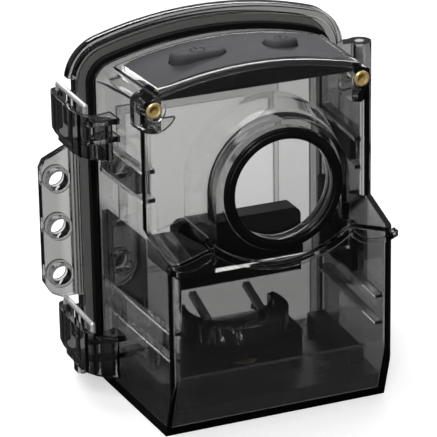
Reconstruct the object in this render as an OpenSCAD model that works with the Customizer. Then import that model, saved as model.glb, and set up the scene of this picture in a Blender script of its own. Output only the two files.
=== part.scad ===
// Waterproof housing for a small action camera: a moulded clear shell with a lens port,
// a hinged rear cover with a strap flange, two toggle latches, two push buttons and the
// pads that hold the camera inside. Millimetres, +Z up, origin at the tripod socket.

/* [Body] */
// Width across the front face
body_w = 78; // [77:0.5:79]
// Gain in half width per millimetre of depth
draft = 0.052; // [0.046:0.002:0.056]
// Wall thickness of the clear shell
wall = 2.4; // [2.2:0.1:2.6]
// Thickness of the floor
floor_t = 3; // [2.8:0.1:3.2]
// Crown height of the top
body_top = 118; // [117.5:0.5:118.5]
// Front face of the lower box
front_y = -36; // [-36.5:0.5:-35.5]
// Front face of the upper body
upper_y = -18; // [-18.5:0.5:-17.5]
// Rear face of the shell, where the cover closes
seam_y = 22; // [21.8:0.1:22.1]
// Front edge of the base, set back by the taper
base_y = -28.5; // [-29:0.5:-28]
// Height at which the taper begins
crease_z = 22.5; // [21:0.5:24]
// Height of the shoulder deck at the outer rear corner
deck_z = 66.9; // [66:0.1:67.5]

/* [Lens port] */
// Height of the lens axis
lens_z = 82.45; // [82:0.05:83]
// Outer radius of the port tube at its front rim
hood_r = 23.2; // [23:0.1:23.4]
// Outer radius of the port tube where it meets the wall
hood_base_r = 27; // [26.5:0.1:27.4]
// Front face of the port tube
hood_y = -35.1; // [-35.3:0.1:-34.9]
// Radius of the clear opening
port_r = 17.3; // [17:0.1:17.5]

/* [Cover] */
// Rim beyond the shell all round
rim_d = 7.4; // [7.2:0.1:7.5]
// Rear face of the cover
cover_y = 35.4; // [35:0.1:36]
// Spacing of the strap holes
strap_pitch = 17; // [16.5:0.5:17.5]
// Radius of the strap holes
strap_hole_r = 3.3; // [3.1:0.1:3.4]

/* [Latches] */
// Centre height of the upper latch
latch_hi_z = 96.4; // [96.2:0.1:96.6]
// Centre height of the lower latch
latch_lo_z = 19.9; // [19.7:0.1:20]
// Radius of the bail wire
wire_r = 0.9; // [0.8:0.05:0.9]

/* [Mounting hardware] */
// Wall radius of the tripod socket
tripod_r = 3.2; // [3.1:0.05:3.2]
// Wall radius of the front threaded inserts
insert_r = 1.3; // [1.25:0.05:1.35]
// Half spacing of the front threaded inserts
insert_x = 36.2; // [36:0.1:36.4]

/* [Hidden] */
$fn = 96;
eps = 0.05;
far = 60;
gap = 0.3;
arch_r = 126;
arch_cz = body_top - arch_r;
corner_r = 8;
corner_x = hw(seam_y) + 0.2 - corner_r;
corner_z = arch_cz + sqrt(pow(arch_r - corner_r, 2) - corner_x * corner_x);
taper = (base_y - front_y) / crease_z;
deck_rise_x = 0.3;
deck_rise_y = 0.27;
smile_r = 39;
smile_z = 94.8;
smile_w = 24.6;
seat_y = -28.6;
lip_y = front_y - 0.9;
insert_z = 108.4;
boss_r = 8.2;
boss_back_y = -5;
plateau_h = 1;
top_front_y = -13.9;
top_back_y = 13.2;
top_half_w = 33.4;
frame_z = 111;
button_y = 0.5;
power_x = -14;
power_w = 19;
power_d = 9;
mode_x = 15.2;
mode_w = 11.5;
mode_d = 8.5;
cap_top = 120.2;
cap_bottom = 116.2;
hinge_x = 56.5;
hinge_y = 27.5;
hinge_r = 4.2;
pin_r = 1.5;
pin_fit = 0.06;
hinge_lo = 17;
hinge_hi = 105;
rim_y0 = 25;
rim_y1 = 31;
pocket_y = 32.8;
pocket_d = -2.6;
back_d = 3;
flange_y0 = 28.2;
flange_y1 = 31.8;
strap_x = -53.6;
strap_z = 38;
bail_front = [-51.2, 5.5];
bail_rear = [-51.4, 30.3];
bail_half = 8.4;
ear_in = 2;
ear_out = 4;
ear_r = 1.9;
hub_r = 2.6;
lug_x = -48.4;
tripod_len = 8.6;
insert_len = 7;
insert_od = 5.4;
insert_face_y = -17.2;

function hw(y) = body_w / 2 + draft * (y - front_y);

// Extrude a side profile drawn as [y, z]
module along_x(x0, x1) {
  translate([x0, 0, 0]) rotate([90, 0, 90]) linear_extrude(x1 - x0) children();
}

// Extrude a front profile drawn as [x, z]
module along_y(y0, y1) {
  translate([0, y1, 0]) rotate([90, 0, 0]) linear_extrude(y1 - y0) children();
}

// Extrude a plan drawn as [x, y]
module along_z(z0, z1) {
  translate([0, 0, z0]) linear_extrude(z1 - z0) children();
}

// Plan of the shell, widening to the rear, set in by t
module plan2d(y0, r, t, back) {
  yf = y0 + t;
  xf = hw(yf + r) - t;
  xb = hw(back) - t;
  polygon([[-xf + r, yf], [xf - r, yf], [xf, yf + r], [xb, back], [-xb, back], [-xf, yf + r]]);
  for (s = [-1, 1])
    translate([s * (xf - r), yf + r]) circle(r);
}

// Front outline with the arched top running into round corners, grown by d, standing on z0
module arch2d(d, z0) {
  k = 1.5;
  zk = arch_cz + k * (corner_z - arch_cz);
  intersection() {
    translate([0, arch_cz]) circle(arch_r + d, $fn = 360);
    polygon([[-corner_x, z0], [corner_x, z0], [corner_x, corner_z], [k * corner_x, zk],
             [-k * corner_x, zk], [-corner_x, corner_z]]);
  }
  translate([-corner_x - corner_r - d, z0]) square([2 * (corner_x + corner_r + d), corner_z - z0]);
  for (s = [-1, 1])
    translate([s * corner_x, corner_z]) circle(corner_r + d);
}

// Crown alone, between x = -w and x = w
module crown2d(d, w, z0) {
  intersection() {
    translate([0, arch_cz]) circle(arch_r + d, $fn = 360);
    translate([-w, z0]) square([2 * w, 40]);
  }
}

// Side profile of the lower box, set in by t
module side2d(t, z0, back) {
  k = sqrt(1 + taper * taper);
  yb = base_y + t * k;
  zc = (yb - front_y - t) / taper;
  polygon([[yb - taper * z0, z0], [front_y + t, zc], [front_y + t, 90], [back, 90], [back, z0]]);
}

// Everything above the sloping shoulder decks, lowered by t
module above_decks(t) {
  a = atan(deck_rise_y);
  b = atan(deck_rise_x * cos(a));
  for (s = [0, 1])
    mirror([s, 0, 0])
      translate([-40, -18, deck_z - t * 1.1])
        rotate([a, 0, 0]) rotate([0, -b, 0])
          translate([-110, -110, 0]) cube([220, 220, 120]);
}

// Port tube between y0 and y1, flaring towards the wall, with a skirt down to z0, set in by t
module port_tube(y0, y1, t, z0) {
  k = (hood_base_r - hood_r) / (upper_y - hood_y);
  r0 = hood_r + k * (y0 - hood_y) - t;
  r1 = hood_r + k * (y1 - hood_y) - t;
  translate([0, y0, lens_z]) rotate([-90, 0, 0]) cylinder(r1 = r0, r2 = r1, h = y1 - y0);
  along_z(z0, lens_z) polygon([[eps - r0, y0], [r0 - eps, y0], [r1 - eps, y1], [eps - r1, y1]]);
}

// The closed volume of the shell, set in by t
module shell_volume(t, z0, back) {
  intersection() {
    along_y(upper_y + t, back) arch2d(-t, z0);
    along_z(z0, 130) plan2d(upper_y, 4 - t * 0.8, t, back);
  }
  difference() {
    intersection() {
      along_x(-far, far) side2d(t, z0, back);
      along_z(z0, 90) plan2d(front_y, 3.2 - t * 0.8, t, back);
    }
    above_decks(t);
  }
}

module annulus_y(y0, y1, ro, ri) {
  along_y(y0, y1) translate([0, lens_z]) difference() {
    circle(ro);
    circle(ri);
  }
}

// Round bar between two points
module rod(p, q, r) {
  v = q - p;
  translate(p) rotate([0, acos(v[2] / norm(v)), atan2(v[1], v[0])]) cylinder(r = r, h = norm(v));
}

module pill2d(w, d) {
  for (s = [-1, 1])
    translate([s * (w - d) / 2, 0]) circle(d = d);
  square([w - d, d], center = true);
}

module ear2d() {
  difference() {
    union() {
      polygon([[-40.2, 1.6], [-40.2, 9.8], [bail_front[0] + 0.4, 7.35], [bail_front[0] - 0.2, 3.65]]);
      translate(bail_front) circle(ear_r);
    }
    translate(bail_front) circle(wire_r + 0.1);
  }
}

module latch_ears(zc) {
  for (s = [-1, 1])
    translate([0, 0, zc + s * (ear_in + ear_out) / 2])
      linear_extrude(ear_out - ear_in, center = true) ear2d();
}

// Hinge plate and barrel of the shell
module shell_knuckle(z0, z1) {
  along_z(z0, z1) {
    polygon([[40.4, 17.6], [40.4, 21.6], [44.8, 21.6], [46.5, 23.4], [52.6, 23.4],
             [53.5, 27.5], [59.6, 26], [58, 21.6], [54.5, 19.4], [44, 17.6]]);
    translate([hinge_x, hinge_y]) circle(hinge_r);
  }
}

module cover_knuckle(z0, z1) {
  along_z(z0, z1) {
    polygon([[46, 26], [46, 31], [54, 31], [58, 29], [54, 25.6]]);
    translate([hinge_x, hinge_y]) circle(hinge_r);
  }
}

module side_rib(s, z0, z1, y0, y1, h) {
  x0 = hw(y0) - wall;
  x1 = hw(y1) - wall;
  along_z(z0, z1)
    polygon([[s * (x0 - h), y0], [s * (x0 + 0.6), y0], [s * (x1 + 0.6), y1], [s * (x1 - h), y1]]);
}

module lens_lip() {
  along_y(lip_y, front_y + 5.5) intersection() {
    difference() {
      translate([0, smile_z]) circle(smile_r);
      translate([0, smile_z]) circle(smile_r - 2.4);
    }
    translate([-smile_w, 50]) square([2 * smile_w, 18]);
  }
}

module shoulder_lip(s) {
  along_y(lip_y, front_y + 2) intersection() {
    difference() {
      translate([s * 33.4, 72.2]) circle(13.8);
      translate([s * 33.4, 72.2]) circle(12);
    }
    polygon([[s * 23.6, 56], [s * 40, 56], [s * 40, 61.9], [s * 23.6, 66.8]]);
  }
}

module front_shell() {
  color("#8f9294")
  difference() {
    union() {
      difference() {
        union() {
          difference() {
            shell_volume(0, 0, seam_y);
            along_y(front_y - 1, hood_y) intersection() {
              translate([0, smile_z]) circle(smile_r);
              translate([-smile_w, 50]) square([2 * smile_w, 40]);
            }
          }
          port_tube(hood_y, upper_y + 1, 0, 57.5);
          intersection() {
            along_y(upper_y, top_back_y + 2) crown2d(plateau_h, 37.2, 105);
            along_z(100, 125) polygon([[-35.7, -19], [35.7, -19], [37.2, 16], [-37.2, 16]]);
          }
        }
        shell_volume(wall, floor_t, seam_y + 5);
        port_tube(seat_y, upper_y + wall + 1, wall, 60);
      }
      port_tube(hood_y, seat_y, 0, 57.5);
      lens_lip();
      for (s = [-1, 1]) {
        shoulder_lip(s);
        intersection() {
          along_y(upper_y, boss_back_y) translate([s * insert_x, insert_z]) circle(boss_r);
          shell_volume(0, 60, seam_y);
        }
        side_rib(s, 85.8, 87.2, -13, 21, 2.6);
        side_rib(s, 75.9, 77.3, -13, 21, 2.6);
        side_rib(s, 36.9, 38.1, -31, 21, 2.6);
        side_rib(s, 27.4, 28.6, -31, 21, 2.6);
      }
      latch_ears(latch_hi_z);
      latch_ears(latch_lo_z);
      shell_knuckle(68.5, 91.5);
      shell_knuckle(30.5, 53.5);
    }
    annulus_y(front_y - 3, -30.2, 20.6, 0);
    along_y(-31, -27) translate([0, lens_z]) circle(port_r + 0.3);
    along_z(100, 130) polygon([[-top_half_w, top_front_y], [top_half_w, top_front_y],
                               [top_half_w + 1.3, top_back_y], [-top_half_w - 1.3, top_back_y]]);
    along_y(upper_y + wall, top_front_y + 1) crown2d(-1.2, top_half_w, 105);
    for (s = [-1, 1]) {
      along_y(upper_y - 2, insert_face_y) translate([s * insert_x, insert_z]) circle(3.6);
      along_y(upper_y - 2, insert_face_y + insert_len) translate([s * insert_x, insert_z])
        circle(d = insert_od);
    }
    translate([hinge_x, hinge_y, 0]) cylinder(r = pin_r + pin_fit, h = 120);
    translate([0, 0, -1]) cylinder(r = 5, h = floor_t + 2);
  }
}

// Outline of the cover with its corners, standing clear of the ground
module cover2d(d) {
  arch2d(d, 1.5);
}

module back_cover() {
  color("#9a9d9f")
  difference() {
    union() {
      difference() {
        union() {
          along_y(rim_y0 + 1, rim_y1 - 1) cover2d(rim_d);
          along_y(rim_y0, rim_y1) cover2d(rim_d - 0.9);
          along_y(rim_y1 - 1, cover_y) cover2d(back_d);
          along_y(cover_y - 1, cover_y + 1.2) translate([-28, 30]) square([57, 62]);
        }
        for (zc = [latch_hi_z, latch_lo_z])
          translate([-60, 20, zc - 10.9]) cube([13.7, 30, 21.8]);
      }
      for (zc = [latch_hi_z, latch_lo_z])
        translate([lug_x, 27, zc - 5.5]) cube([5, 3.5, 11]);
      along_y(flange_y0, flange_y1)
        polygon([[-46, 29.7], [-53.5, 29.7], [-57, 31.5], [-59.2, 35.4], [-59.2, 76.5],
                 [-57.8, 79.2], [-49.5, 83], [-46, 83]]);
      for (i = [0:2])
        along_y(flange_y0 - 1.2, flange_y1 + 1.2)
          translate([strap_x, strap_z + i * strap_pitch]) circle(strap_hole_r + 1.1);
      cover_knuckle(92, hinge_hi);
      cover_knuckle(54, 68);
      cover_knuckle(hinge_lo, 30);
    }
    along_y(rim_y0 - 2, pocket_y) arch2d(pocket_d, 4.4);
    along_y(pocket_y - 1, cover_y - 0.9) translate([-25.6, 32.4]) square([52.2, 57.2]);
    along_y(rim_y0 - 1, rim_y0 + 1) difference() {
      arch2d(4.9, 0);
      arch2d(4.1, 0.7);
    }
    for (i = [0:2])
      along_y(20, 40) translate([strap_x, strap_z + i * strap_pitch]) circle(strap_hole_r);
    translate([hinge_x, hinge_y, 0]) cylinder(r = pin_r + pin_fit, h = 120);
  }
}

module cover_gasket() {
  color("#121214")
  along_y(seam_y + gap, rim_y0 - eps) difference() {
    arch2d(1.6, 0.9);
    arch2d(-2.2, 4);
  }
}

module cover_pad() {
  color("#101012")
  along_y(25.2, pocket_y - eps) {
    translate([-12, 26]) square([45, 21]);
    translate([-10, 46]) square([41, 3.4]);
    for (x = [-9, 30])
      translate([x, 46.4]) circle(3);
  }
}

module hinge_pin() {
  color("#c9ccd0")
  translate([hinge_x, hinge_y, hinge_lo + 0.5]) cylinder(r = pin_r, h = hinge_hi - hinge_lo - 2);
}

module lens_window() {
  color("#dfe6ea")
  annulus_y(-33.4, -31.5, 20.3, 0);
}

module lens_ring() {
  color("#0d0d0e")
  difference() {
    union() {
      annulus_y(-36.2, -33.5, 20.4, 17);
      annulus_y(-36.6, -36, 19.4, 18);
    }
    annulus_y(-40, -36.1, 17.8, 0);
  }
}

module lens_seal() {
  color("#151517")
  annulus_y(-31.4, -30.3, 20.2, 17.6);
}

module threaded_inserts() {
  color("#c9a24a")
  for (s = [-1, 1])
    along_y(insert_face_y - 0.4, insert_face_y + insert_len - 0.1)
      translate([s * insert_x, insert_z]) difference() {
        circle(d = insert_od - 0.06);
        circle(insert_r);
      }
}

module tripod_insert() {
  color("#c9a24a")
  difference() {
    union() {
      translate([0, 0, 0]) cylinder(r = 4.9, h = tripod_len);
      translate([0, 0, floor_t + 0.1]) cylinder(r = 6.5, h = 2);
    }
    translate([0, 0, -1]) cylinder(r = tripod_r, h = 20);
  }
}

module base_plate() {
  color("#0f0f10")
  difference() {
    union() {
      intersection() {
        shell_volume(wall + 0.15, floor_t + 0.1, seam_y - 1);
        translate([-far, -40, 0]) cube([2 * far, 90, 9.2]);
      }
      for (s = [-1, 1])
        along_z(9, 14.5) polygon([[s * 30, -20], [s * 35.4, -20], [s * 36.6, 14], [s * 30, 14]]);
    }
    translate([0, 0, -1]) cylinder(r = 5, h = 20);
    translate([0, 0, -1]) cylinder(r = 6.6, h = floor_t + 3.2);
    for (s = [-1, 1])
      translate([s * 13, 12, 4]) cylinder(r = 1.3, h = 20);
  }
}

module camera_cradle() {
  color("#0c0c0d")
  difference() {
    union() {
      translate([-20, -2, 9.25]) cube([41, 20, 8]);
      difference() {
        translate([-2, 3, 21]) cylinder(r = 18.5, h = 6);
        translate([-2, 6.5, 22.6]) cylinder(r = 15, h = 10);
        translate([-2, 6.5, 10]) cylinder(r = 11.5, h = 20);
        translate([-40, 12, 0]) cube([80, 40, 60]);
      }
      translate([-20, 6, 17]) cube([6, 5.5, 5]);
      translate([10, 6, 17]) cube([6, 5.5, 5]);
      for (x = [-16.5, 3]) {
        translate([x, -7, 17.2]) cube([2.4, 2.2, 12]);
        translate([x, -7, 27.2]) rotate([18, 0, 0]) cube([2.4, 15, 2]);
      }
      translate([-16.5, -7, 13]) cube([2.4, 6, 4.5]);
      translate([3, -7, 13]) cube([2.4, 6, 4.5]);
    }
    for (s = [-1, 1])
      translate([s * 13, 12, 4]) cylinder(r = 1.7, h = 30);
    for (s = [-1, 1])
      translate([s * 13, 12, 15]) cylinder(r = 3.1, h = 30);
  }
}

module cradle_screws() {
  color("#b9bcc0")
  for (s = [-1, 1])
    translate([s * 13, 12, 0]) {
      translate([0, 0, 5]) cylinder(r = 1.25, h = 11);
      difference() {
        translate([0, 0, 15.05]) cylinder(r = 2.8, h = 1.8);
        translate([0, 0, 16]) cylinder(r = 1.3, h = 2, $fn = 6);
      }
    }
}

module button_frame() {
  color("#0e0e10")
  difference() {
    intersection() {
      along_y(upper_y + wall + 0.1, top_back_y - 0.1) crown2d(-1.3, top_half_w + 2, frame_z);
      along_z(100, 130) polygon([[-top_half_w + 0.1, -16], [top_half_w - 0.1, -16],
                                 [top_half_w + 1.1, top_back_y], [-top_half_w - 1.1, top_back_y]]);
    }
    translate([power_x, button_y, 114.6]) linear_extrude(10) pill2d(power_w + 0.8, power_d + 0.8);
    translate([mode_x, button_y, 114.6]) linear_extrude(10) pill2d(mode_w + 0.8, mode_d + 0.8);
    for (x = [power_x, mode_x])
      translate([x, button_y, 100]) cylinder(r = 2.4, h = 20);
  }
}

module button_membrane() {
  color("#66646b")
  difference() {
    intersection() {
      along_y(top_front_y + 0.1, top_back_y - 0.1) difference() {
        crown2d(plateau_h - 0.1, top_half_w + 2, 105);
        crown2d(-1.25, top_half_w + 5, 100);
      }
      along_z(100, 130) polygon([[-top_half_w + 0.1, -16], [top_half_w - 0.1, -16],
                                 [top_half_w + 1.1, top_back_y], [-top_half_w - 1.1, top_back_y]]);
    }
    translate([power_x, button_y, 110]) linear_extrude(20) pill2d(power_w + 0.6, power_d + 0.6);
    translate([mode_x, button_y, 110]) linear_extrude(20) pill2d(mode_w + 0.6, mode_d + 0.6);
  }
}

module push_button(x, w, d) {
  translate([x, button_y, cap_bottom]) linear_extrude(cap_top - cap_bottom) pill2d(w, d);
  translate([x, button_y, 106]) cylinder(r = 2, h = cap_bottom - 105.9);
}

module power_button() {
  color("#58565e") push_button(power_x, power_w, power_d);
}

module mode_button() {
  color("#58565e") push_button(mode_x, mode_w, mode_d);
}

module latch_lever(zc) {
  color("#2a2a2c")
  difference() {
    union() {
      translate([bail_rear[0], bail_rear[1], zc - 6.4]) cylinder(r = hub_r, h = 12.8);
      along_z(zc - 6.4, zc + 6.4)
        polygon([[-54, 30.6], [-54.9, 25], [-55.2, 18], [-53.6, 18], [-53.3, 25], [-51.6, 28.4]]);
      along_z(zc - 7.2, zc + 7.2)
        polygon([[-54.9, 21.6], [-55.6, 20], [-55.6, 7], [-55, 3], [-52.6, -1.4], [-48.6, -5.2],
                 [-46.8, -6], [-46, -5.2], [-47, -4], [-50.6, -0.8], [-53.1, 3.2], [-53.5, 8],
                 [-53.5, 21], [-54.1, 21.6]]);
    }
    translate([bail_rear[0], bail_rear[1], zc - 10]) cylinder(r = wire_r + 0.08, h = 20);
  }
}

module latch_bail(zc) {
  color("#d4d6da")
  for (s = [-1, 1]) {
    a = [bail_front[0], bail_front[1], zc + s * bail_half];
    b = [bail_rear[0], bail_rear[1], zc + s * bail_half];
    rod([bail_front[0], bail_front[1], zc], a, wire_r);
    rod(a, b, wire_r);
    rod(b, [bail_rear[0], bail_rear[1], zc], wire_r);
    translate(a) sphere(wire_r);
    translate(b) sphere(wire_r);
  }
}

module upper_latch_lever() {
  latch_lever(latch_hi_z);
}

module lower_latch_lever() {
  latch_lever(latch_lo_z);
}

module upper_latch_bail() {
  latch_bail(latch_hi_z);
}

module lower_latch_bail() {
  latch_bail(latch_lo_z);
}

// Cushion against a side wall with a raised ring
module wall_pad(s, y0, y1, z0, z1, yc, zc) {
  x0 = hw(y0) - wall - 0.1;
  x1 = hw(y1) - wall - 0.1;
  along_z(z0, z1)
    polygon([[s * (x0 - 2.2), y0], [s * x0, y0], [s * x1, y1], [s * (x1 - 2.2), y1]]);
  translate([s * (hw(yc) - wall - 3.2), yc, zc]) rotate([0, 90, 0])
    difference() {
      cylinder(r = 3.6, h = 2.4, center = true);
      cylinder(r = 2.6, h = 4, center = true);
    }
}

module left_upper_pad() {
  color("#0f0f10") wall_pad(-1, -8, 20.5, 77.4, 85.7, 8, 81.5);
}

module right_upper_pad() {
  color("#0f0f10") wall_pad(1, -8, 20.5, 77.4, 85.7, 8, 81.5);
}

module left_lower_pad() {
  color("#0f0f10") wall_pad(-1, -10, 20.5, 38.2, 62, 5.8, 50.1);
}

module right_lower_pad() {
  color("#0f0f10") wall_pad(1, -10, 20.5, 38.2, 62, 5.8, 50.1);
}

module shoulder_block() {
  color("#0d0d0e")
  difference() {
    along_z(57, 64) polygon([[-24.8, -33.4], [-35.8, -33.4], [-36.8, -13], [-30, -13], [-24.8, -19]]);
    above_decks(wall + 0.2);
    port_tube(hood_y, upper_y + 1, -gap, 40);
  }
}

front_shell();
back_cover();
cover_gasket();
cover_pad();
hinge_pin();
lens_window();
lens_ring();
lens_seal();
threaded_inserts();
tripod_insert();
base_plate();
camera_cradle();
cradle_screws();
button_frame();
button_membrane();
power_button();
mode_button();
upper_latch_lever();
upper_latch_bail();
lower_latch_lever();
lower_latch_bail();
left_upper_pad();
left_lower_pad();
right_upper_pad();
right_lower_pad();
shoulder_block();
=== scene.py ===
import math

import bmesh
import bpy
from mathutils import Matrix, Vector


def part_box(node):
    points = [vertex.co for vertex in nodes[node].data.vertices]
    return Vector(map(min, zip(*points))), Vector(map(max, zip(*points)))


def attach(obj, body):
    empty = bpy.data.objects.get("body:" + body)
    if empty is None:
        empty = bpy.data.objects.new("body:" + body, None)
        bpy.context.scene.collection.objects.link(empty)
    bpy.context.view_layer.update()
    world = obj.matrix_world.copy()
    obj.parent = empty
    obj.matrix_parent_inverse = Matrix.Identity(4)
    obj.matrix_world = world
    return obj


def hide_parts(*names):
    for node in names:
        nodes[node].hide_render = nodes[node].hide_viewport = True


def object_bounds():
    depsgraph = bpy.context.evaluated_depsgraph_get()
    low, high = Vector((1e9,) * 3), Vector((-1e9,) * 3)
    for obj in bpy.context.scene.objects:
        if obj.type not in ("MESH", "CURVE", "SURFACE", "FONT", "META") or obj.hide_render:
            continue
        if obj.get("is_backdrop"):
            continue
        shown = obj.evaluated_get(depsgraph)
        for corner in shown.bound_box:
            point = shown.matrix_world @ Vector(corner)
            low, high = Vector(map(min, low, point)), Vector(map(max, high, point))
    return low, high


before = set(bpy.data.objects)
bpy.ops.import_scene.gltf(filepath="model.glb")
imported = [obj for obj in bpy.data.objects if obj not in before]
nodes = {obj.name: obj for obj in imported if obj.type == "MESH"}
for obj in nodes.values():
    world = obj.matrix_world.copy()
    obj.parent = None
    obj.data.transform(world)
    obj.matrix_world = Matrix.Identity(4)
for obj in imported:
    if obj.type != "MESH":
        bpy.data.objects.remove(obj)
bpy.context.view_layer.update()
MM = 0.001


# ---------------------------------------------------------------- materials

def material(name):
    m = bpy.data.materials.new(name)
    m.use_nodes = True
    t = m.node_tree
    t.nodes.clear()
    out = t.nodes.new("ShaderNodeOutputMaterial")
    p = t.nodes.new("ShaderNodeBsdfPrincipled")
    t.links.new(p.outputs[0], out.inputs["Surface"])
    return m, t, p, out


def coords(t):
    return t.nodes.new("ShaderNodeTexCoord").outputs["Object"]


def noise(t, scale, detail, rough=0.55):
    n = t.nodes.new("ShaderNodeTexNoise")
    n.inputs["Scale"].default_value = scale
    n.inputs["Detail"].default_value = detail
    n.inputs["Roughness"].default_value = rough
    t.links.new(coords(t), n.inputs["Vector"])
    return n.outputs["Fac"]


def remap(t, value, low, high, a=0.3, b=0.7):
    n = t.nodes.new("ShaderNodeMapRange")
    n.inputs["From Min"].default_value = a
    n.inputs["From Max"].default_value = b
    n.inputs["To Min"].default_value = low
    n.inputs["To Max"].default_value = high
    t.links.new(value, n.inputs["Value"])
    return n.outputs["Result"]


def maths(t, how, a, b):
    n = t.nodes.new("ShaderNodeMath")
    n.operation = how
    for k, v in enumerate((a, b)):
        if isinstance(v, float):
            n.inputs[k].default_value = v
        else:
            t.links.new(v, n.inputs[k])
    return n.outputs[0]


def ramp(t, value, stops):
    n = t.nodes.new("ShaderNodeValToRGB")
    e = n.color_ramp.elements
    while len(e) < len(stops):
        e.new(0.5)
    for k, (at, c) in zip(e, stops):
        k.position = at
        k.color = (*c, 1)
    t.links.new(value, n.inputs["Fac"])
    return n.outputs["Color"]


def bump(t, p, height, strength, distance, base):
    n = t.nodes.new("ShaderNodeBump")
    n.inputs["Strength"].default_value = strength
    n.inputs["Distance"].default_value = distance
    t.links.new(height, n.inputs["Height"])
    t.links.new(base, n.inputs["Normal"])
    t.links.new(n.outputs[0], p.inputs["Normal"])


def rounded(t, radius):
    n = t.nodes.new("ShaderNodeBevel")
    n.samples = 4
    n.inputs["Radius"].default_value = radius
    return n.outputs[0]


def clear_plastic(name, density, tint, shade, rough=(0.015, 0.05), tint_darkening=None):
    """Tinted see-through plastic, which bends what is behind it and darkens it with the path through it.
    The optional function darkens the base colour where parts of the moulding read darker; on the front
    shell that is painted shade."""
    m, t, p, out = material(name)
    p.inputs["Base Color"].default_value = (0.985, 0.985, 0.985, 1)
    if tint_darkening:
        c = ramp(t, tint_darkening(t), [(0.0, (0.0,) * 3), (1.0, (1.0,) * 3)])
        t.links.new(c, p.inputs["Base Color"])
    p.inputs["Transmission Weight"].default_value = 1.0
    p.inputs["IOR"].default_value = 1.5
    t.links.new(remap(t, noise(t, 160, 5), *rough), p.inputs["Roughness"])
    bump(t, p, noise(t, 35, 2), 0.10, 0.0002, rounded(t, 0.00035))
    v = t.nodes.new("ShaderNodeVolumeAbsorption")
    v.inputs["Color"].default_value = (*tint, 1)
    v.inputs["Density"].default_value = density
    t.links.new(v.outputs[0], out.inputs["Volume"])
    lp = t.nodes.new("ShaderNodeLightPath")
    tr = t.nodes.new("ShaderNodeBsdfTransparent")
    tr.inputs["Color"].default_value = (shade, shade, shade, 1)
    mix = t.nodes.new("ShaderNodeMixShader")
    t.links.new(lp.outputs["Is Shadow Ray"], mix.inputs[0])
    t.links.new(p.outputs[0], mix.inputs[1])
    t.links.new(tr.outputs[0], mix.inputs[2])
    t.links.new(mix.outputs[0], out.inputs["Surface"])
    return m


def zone(t, axis, start, end):
    """0 before start and 1 past end along an axis, with a slightly cloudy border."""
    xyz = t.nodes.new("ShaderNodeSeparateXYZ")
    t.links.new(coords(t), xyz.inputs[0])
    cloud = remap(t, noise(t, 40, 3), -0.0008, 0.0008)
    return remap(t, maths(t, "ADD", xyz.outputs[axis], cloud), 0.0, 1.0, start, end)


def darkened(t, value, mask, amount):
    return maths(t, "MULTIPLY", value, maths(t, "SUBTRACT", 1.0, maths(t, "MULTIPLY", mask, amount)))


def shell_painted_shade(t):
    """Painted shade: darkens the base colour over the lower box and the right wall of the front shell,
    which read darker than its upper wall, and over the left wall below the shoulder."""
    # mask of the lower box, where painted shade darkens the base colour
    low = zone(t, "Z", 0.067, 0.058)
    v = darkened(t, 0.985, low, 0.42)
    v = darkened(t, v, zone(t, "X", 0.036, 0.0385), 0.45)
    return darkened(t, v, maths(t, "MULTIPLY", low, zone(t, "X", -0.0365, -0.039)), 0.60)


def cover_flange_darkening(t):
    """Darkens the base colour over the thick strap flange of the cover."""
    return darkened(t, 0.985, zone(t, "X", -0.0515, -0.0535), 0.22)


def moulded(name, dark, light, rough, grain, depth, spec):
    """Opaque moulded plastic or rubber with a spark-eroded grain and slightly paler rubbed edges."""
    m, t, p, _ = material(name)
    g = noise(t, grain, 6, 0.6)
    big = noise(t, 60, 3)
    geo = t.nodes.new("ShaderNodeNewGeometry")
    dot = t.nodes.new("ShaderNodeVectorMath")
    dot.operation = "DOT_PRODUCT"
    t.links.new(rounded(t, 0.0004), dot.inputs[0])
    t.links.new(geo.outputs["Normal"], dot.inputs[1])
    edge = remap(t, dot.outputs["Value"], 1.0, 0.0, 0.80, 0.995)
    mix = t.nodes.new("ShaderNodeMix")
    mix.data_type = "RGBA"
    t.links.new(remap(t, big, 0.0, 0.45), mix.inputs["Factor"])
    mix.inputs[6].default_value = (*dark, 1)
    mix.inputs[7].default_value = (*light, 1)
    wear = t.nodes.new("ShaderNodeMix")
    wear.data_type = "RGBA"
    t.links.new(edge, wear.inputs["Factor"])
    t.links.new(mix.outputs[2], wear.inputs[6])
    wear.inputs[7].default_value = (*[min(1, c * 1.6 + 0.002) for c in light], 1)
    t.links.new(wear.outputs[2], p.inputs["Base Color"])
    t.links.new(remap(t, big, rough - 0.07, rough + 0.07), p.inputs["Roughness"])
    p.inputs["Specular IOR Level"].default_value = spec
    bump(t, p, g, 0.35, depth, rounded(t, 0.0003))
    return m


def metal(name, colour, rough, shine):
    m, t, p, _ = material(name)
    g = noise(t, 900, 5, 0.6)
    p.inputs["Metallic"].default_value = shine
    t.links.new(
        ramp(t, g, [(0.25, [c * 0.8 for c in colour]), (0.75, colour)]), p.inputs["Base Color"]
    )
    t.links.new(remap(t, g, rough * 0.7, rough * 1.4), p.inputs["Roughness"])
    bump(t, p, g, 0.25, 0.00002, rounded(t, 0.0002))
    return m


# the front shell's base colour carries painted shade over its lower box and side walls
smoke = clear_plastic("smoke_clear", 140, (0.12, 0.12, 0.11), 0.9, tint_darkening=shell_painted_shade)
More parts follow.
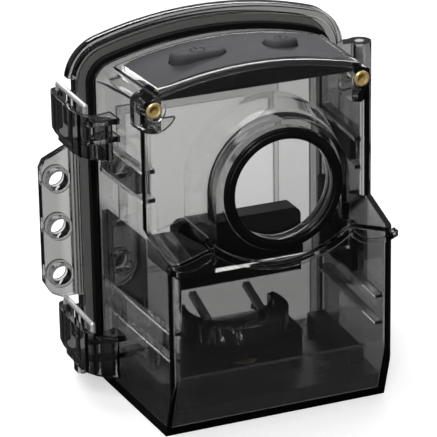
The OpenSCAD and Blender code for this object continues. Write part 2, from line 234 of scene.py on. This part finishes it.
# the cover's base colour is darkened over its strap flange
smoke_back = clear_plastic("smoke_clear_cover", 295, (0.12, 0.12, 0.11), 0.9, tint_darkening=cover_flange_darkening)
latch = clear_plastic("latch_smoke", 800, (0.10, 0.10, 0.11), 0.8)
glass = clear_plastic("lens_glass", 6, (0.3, 0.5, 0.5), 0.96, (0.0, 0.01))
black = moulded("black_plastic", (0.003, 0.003, 0.0033), (0.005, 0.005, 0.0055), 0.22, 1600, 0.000004, 0.30)
gloss = moulded("gloss_black", (0.003, 0.003, 0.0035), (0.005, 0.005, 0.0055), 0.14, 900, 0.00001, 0.5)
rubber = moulded("black_rubber", (0.004, 0.004, 0.0045), (0.007, 0.007, 0.0075), 0.60, 2200, 0.00005, 0.10)
grey = moulded("grey_rubber", (0.058, 0.056, 0.063), (0.076, 0.073, 0.083), 0.55, 3200, 0.00003, 0.12)
ink = moulded("engraved_grey", (0.003, 0.003, 0.0035), (0.005, 0.005, 0.0055), 0.6, 1500, 0.00002, 0.2)
brass = metal("brass", (1.0, 0.80, 0.38), 0.28, shine=0.45)
cradle_black = moulded(
    "cradle_black", (0.004, 0.004, 0.0045), (0.007, 0.007, 0.0075), 0.16, 900, 0.000006, 0.7
)
steel = metal("steel", (0.95, 0.95, 0.96), 0.20, shine=0.55)

LOOK = {
    "front_shell": smoke,
    "back_cover": smoke_back,
    "cover_gasket": rubber,
    "cover_pad": rubber,
    "hinge_pin": steel,
    "lens_window": glass,
    "lens_ring": gloss,
    "lens_seal": rubber,
    "threaded_inserts": brass,
    "tripod_insert": brass,
    "base_plate": black,
    "camera_cradle": cradle_black,
    "cradle_screws": steel,
    "button_frame": black,
    "button_membrane": grey,
    "power_button": grey,
    "mode_button": grey,
    "upper_latch_lever": latch,
    "upper_latch_bail": steel,
    "lower_latch_lever": latch,
    "lower_latch_bail": steel,
    "left_upper_pad": rubber,
    "left_lower_pad": rubber,
    "right_upper_pad": rubber,
    "right_lower_pad": rubber,
    "shoulder_block": rubber,
}
for name, m in LOOK.items():
    data = nodes[name].data
    data.materials.clear()
    data.materials.append(m)


# ------------------------------------------------------------ detailed parts

def piece(name, body, mat, mesh, smooth=True):
    """A new object from (vertices in mm, faces) that moves with a CAD body."""
    verts, faces = mesh
    me = bpy.data.meshes.new(name)
    me.from_pydata([tuple(v * MM) for v in verts], [], faces)
    bm = bmesh.new()
    bm.from_mesh(me)
    bmesh.ops.recalc_face_normals(bm, faces=bm.faces)
    bm.to_mesh(me)
    bm.free()
    if smooth:
        me.shade_smooth()
        me.set_sharp_from_angle(angle=math.radians(38))
    me.materials.append(mat)
    o = bpy.data.objects.new(name, me)
    bpy.context.scene.collection.objects.link(o)
    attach(o, body)
    return o


def loft(rings, ends=(True, True)):
    """Vertices and faces of a skin through rings that have the same number of points."""
    n = len(rings[0])
    verts = [v for ring in rings for v in ring]
    faces = [
        (a * n + k, a * n + (k + 1) % n, (a + 1) * n + (k + 1) % n, (a + 1) * n + k)
        for a in range(len(rings) - 1)
        for k in range(n)
    ]
    if ends[0]:
        faces.append(tuple(range(n)))
    if ends[1]:
        faces.append(tuple((len(rings) - 1) * n + k for k in range(n)))
    return verts, faces


def together(*parts):
    verts, faces = [], []
    for v, f in parts:
        faces += [tuple(i + len(verts) for i in q) for q in f]
        verts += list(v)
    return verts, faces


def pill(cx, cy, w, d, z, n=72):
    """Points round a pill outline of length w along X and width d."""
    r, c = d / 2, (w - d) / 2
    out = []
    for k in range(n):
        a = 2 * math.pi * k / n
        side = c if math.cos(a) > 0 else -c
        out.append(Vector((cx + side + r * math.cos(a), cy + r * math.sin(a), z)))
    return out


def ring_z(cx, cy, r, z, n=40):
    return pill(cx, cy, 2 * r, 2 * r, z, n)


def arc_strip(cx, cy, z0, z1, ri, ro, start, end, n=28):
    """A flat raised stroke round part of a circle."""
    rings = []
    for k in range(n + 1):
        a = math.radians(start + (end - start) * k / n)
        c, s = math.cos(a), math.sin(a)
        rings.append([
            Vector((cx + ri * c, cy + ri * s, z0)), Vector((cx + ro * c, cy + ro * s, z0)),
            Vector((cx + ro * c, cy + ro * s, z1)), Vector((cx + ri * c, cy + ri * s, z1)),
        ])
    return loft(rings)


def bar(x0, x1, y0, y1, z0, z1):
    return loft([
        [Vector((x0, y0, z)), Vector((x1, y0, z)), Vector((x1, y1, z)), Vector((x0, y1, z))]
        for z in (z0, z1)
    ])


def button(node, body, icon):
    """A soft cap with a wide rounded shoulder, its stem, and a dark symbol let into the top."""
    low, high = (Vector(v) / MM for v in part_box(node))
    cx, cy = (low.x + high.x) / 2, (low.y + high.y) / 2
    w, d = high.x - low.x, high.y - low.y
    base, top = low.z + 10.2, high.z
    shoulder = (
        (0.5, base), (0.05, base + 0.2), (0, base + 0.6), (0, top - 1.7), (0.08, top - 1.25),
        (0.3, top - 0.8), (0.65, top - 0.42), (1.1, top - 0.17), (1.7, top - 0.05), (2.4, top),
        (3.2, top - 0.03), (3.9, top - 0.05),
    )
    rings = [pill(cx, cy, w - 2 * inset, d - 2 * inset, z) for inset, z in shoulder]
    stem = [ring_z(cx, cy, r, z) for r, z in ((1.7, low.z), (2, low.z + 0.3), (2, base + 0.1))]
    cap = piece(node + "_cap", body, grey, together(loft(rings), loft(stem)))
    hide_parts(node)
    z0, z1 = top - 0.25, top + 0.02
    if icon == "power":
        marks = [
            arc_strip(cx, cy, z0, z1, 2.1, 2.6, -240, 60),
            bar(cx - 0.3, cx + 0.3, cy + 0.7, cy + 3.0, z0, z1),
        ]
    else:
        marks = [
            arc_strip(cx, cy, z0, z1, 1.9, 2.35, 170, 370),
            bar(cx - 0.3, cx + 0.3, cy - 0.9, cy + 1.1, z0, z1),
            bar(cx - 1.5, cx + 1.5, cy + 1.5, cy + 1.95, z0, z1),
        ]
    piece(node + "_symbol", body, ink, together(*marks), smooth=False)


button("power_button", "power_key", "power")
button("mode_button", "mode_key", "mode")


def insert_mesh(cx, cz, face, back, ro, ri):
    """A knurled brass insert along Y: chamfered face, threaded bore, and two knurled bands with a groove
    between."""
    n = 96

    def ring(r, y, knurl=0.0):
        pts = []
        for k in range(n):
            a = 2 * math.pi * k / n
            rr = r - (knurl if k % 4 >= 2 else 0)
            pts.append(Vector((cx + rr * math.cos(a), y, cz + rr * math.sin(a))))
        return pts

    length = back - face
    rings = [ring(ri + 0.5, face), ring(ro - 0.35, face), ring(ro, face + 0.3), ring(ro, face + 0.9)]
    for a, b in ((0.16, 0.50), (0.62, 0.94)):
        y0, y1 = face + a * length, face + b * length
        rings += [ring(ro - 0.3, y0 - 0.1), ring(ro, y0, 0.22)]
        rings += [ring(ro, y1, 0.22), ring(ro - 0.3, y1 + 0.1)]
    rings += [ring(ro - 0.4, back), ring(ri + 0.3, back)]
    pitch, y = 0.45, back - 0.3
    while y > face + 2.2:
        rings += [ring(ri + 0.22, y), ring(ri, y - pitch / 2)]
        y -= pitch
    rings += [ring(ri + 0.05, face + 1.6), ring(ri + 0.12, face + 0.6), ring(ri + 0.3, face + 0.2)]
    verts, faces = loft(rings, (False, False))
    m = len(rings) - 1
    faces += [(m * n + k, m * n + (k + 1) % n, (k + 1) % n, k) for k in range(n)]
    return verts, faces


low, high = (Vector(v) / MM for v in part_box("threaded_inserts"))
half = (high.z - low.z) / 2
cz = (low.z + high.z) / 2
bore_r = 1.3
inserts = piece("threaded_inserts_detailed", "housing", brass, together(*[
    insert_mesh(x, cz, low.y, high.y, half, bore_r) for x in (low.x + half, high.x - half)
]))
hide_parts("threaded_inserts")


def soften(node, width, segments=3, angle=32):
    """Rounds the edges of a CAD node that are sharper than angle, by width in mm."""
    o = nodes[node]
    w = o.modifiers.new("weld", "WELD")
    w.merge_threshold = 0.002 * MM
    b = o.modifiers.new("bevel", "BEVEL")
    b.width = width * MM
    b.segments = segments
    b.limit_method = "ANGLE"
    b.angle_limit = math.radians(angle)
    b.harden_normals = False
    b.use_clamp_overlap = True


for n in (
    "cover_pad", "left_upper_pad", "left_lower_pad", "right_upper_pad", "right_lower_pad",
    "shoulder_block",
):
    soften(n, 0.45)
for n in ("upper_latch_lever", "lower_latch_lever", "lens_ring", "camera_cradle"):
    soften(n, 0.25)
for n in ("front_shell", "back_cover"):
    soften(n, 0.3, 2, 40)


# ------------------------------------------------- floor, light and camera

def floor():
    bm = bmesh.new()
    bmesh.ops.create_grid(bm, x_segments=8, y_segments=8, size=6)
    me = bpy.data.meshes.new("floor")
    bm.to_mesh(me)
    o = bpy.data.objects.new("floor", me)
    bpy.context.scene.collection.objects.link(o)
    o.location.z = -0.0002
    m, t, p, out = material("floor_paper")
    p.inputs["Base Color"].default_value = (0.82, 0.82, 0.82, 1)
    p.inputs["Roughness"].default_value = 0.9
    p.inputs["Specular IOR Level"].default_value = 0.0
    p.inputs["Emission Color"].default_value = (1, 1, 1, 1)
    p.inputs["Emission Strength"].default_value = 0.45
    dim = t.nodes.new("ShaderNodeBsdfDiffuse")
    xyz = t.nodes.new("ShaderNodeSeparateXYZ")
    t.links.new(coords(t), xyz.inputs[0])
    forward = remap(t, xyz.outputs["Y"], 0.0, 1.0, -0.25, -0.31)
    t.links.new(ramp(t, forward, [(0.0, (0.04,) * 3), (1.0, (0.12,) * 3)]), dim.inputs["Color"])
    mix = t.nodes.new("ShaderNodeMixShader")
    lp = t.nodes.new("ShaderNodeLightPath")
    front = remap(t, xyz.outputs["Y"], 0.95, 0.0, -0.14, -0.03)
    unseen = maths(t, "SUBTRACT", 1.0, lp.outputs["Is Camera Ray"])
    fac = maths(t, "MAXIMUM", lp.outputs["Is Reflection Ray"], maths(t, "MULTIPLY", unseen, front))
    t.links.new(fac, mix.inputs[0])
    t.links.new(p.outputs[0], mix.inputs[1])
    t.links.new(dim.outputs[0], mix.inputs[2])
    t.links.new(mix.outputs[0], out.inputs["Surface"])
    me.materials.append(m)
    o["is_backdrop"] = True


def area(name, at, size, watts, target=(0, 0, 0.06)):
    d = bpy.data.lights.new(name, "AREA")
    d.shape = "RECTANGLE"
    d.size, d.size_y = size
    d.energy = watts
    o = bpy.data.objects.new(name, d)
    bpy.context.scene.collection.objects.link(o)
    o.location = at
    o.rotation_mode = "QUATERNION"
    o.rotation_quaternion = (Vector(target) - Vector(at)).to_track_quat("-Z", "Y")


floor()
area("top_softbox", (-0.1, 0.35, 1.3), (1.4, 1.0), 11)
area("key_softbox", (-0.6, -1.2, 1.2), (0.5, 0.5), 14)
area("left_softbox", (-1.2, -0.2, 0.6), (0.25, 1.0), 3)
area("back_right_softbox", (0.95, 1.0, 0.4), (0.3, 0.6), 1.5)
area("rim_softbox", (0.35, 1.15, 0.68), (1.0, 0.22), 4)

world = bpy.data.worlds.new("studio")
bpy.context.scene.world = world
world.use_nodes = True
wt = world.node_tree
shade = wt.nodes["Background"]
shade.inputs["Color"].default_value = (1, 1, 1, 1)
wx = wt.nodes.new("ShaderNodeSeparateXYZ")
wt.links.new(wt.nodes.new("ShaderNodeTexCoord").outputs["Generated"], wx.inputs[0])
behind = remap(wt, wx.outputs["Y"], 0.30, 1.0, -0.25, 0.35)
above = remap(wt, wx.outputs["Z"], 1.0, 0.06, 0.35, 0.80)
mirrored = remap(wt, wt.nodes.new("ShaderNodeLightPath").outputs["Is Reflection Ray"], 1.0, 0.22, 0.0, 1.0)
wt.links.new(
    maths(wt, "MULTIPLY", maths(wt, "MULTIPLY", behind, above), mirrored), shade.inputs["Strength"]
)

AZIMUTH, ELEVATION, ROLL = -22.55, 21.98, -0.94
TARGET = Vector((-0.02275, -0.036, 0.07645))
DISTANCE = 0.91145

az, el, roll = (math.radians(a) for a in (AZIMUTH, ELEVATION, ROLL))
back = Vector((math.sin(az) * math.cos(el), -math.cos(az) * math.cos(el), math.sin(el)))
right = (-back).cross(Vector((0, 0, 1))).normalized()
up = right.cross(-back)
r2 = math.cos(roll) * right + math.sin(roll) * up
u2 = -math.sin(roll) * right + math.cos(roll) * up
cam = bpy.data.cameras.new("camera")
cam.sensor_width = 36
cam.lens = 238.1
cam.clip_start, cam.clip_end = 0.05, 30
camera = bpy.data.objects.new("camera", cam)
bpy.context.scene.collection.objects.link(camera)
place = TARGET + back * DISTANCE
turn = Matrix((r2, u2, back)).transposed().to_4x4()
camera.matrix_world = Matrix.Translation(place) @ turn
bpy.context.scene.camera = camera

scene = bpy.context.scene
scene.view_settings.view_transform = "Standard"
scene.cycles.max_bounces = 24
scene.cycles.transmission_bounces = 24
scene.cycles.transparent_max_bounces = 24
scene.cycles.glossy_bounces = 6
scene.cycles.diffuse_bounces = 4
scene.cycles.sample_clamp_indirect = 4.0

low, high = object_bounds()
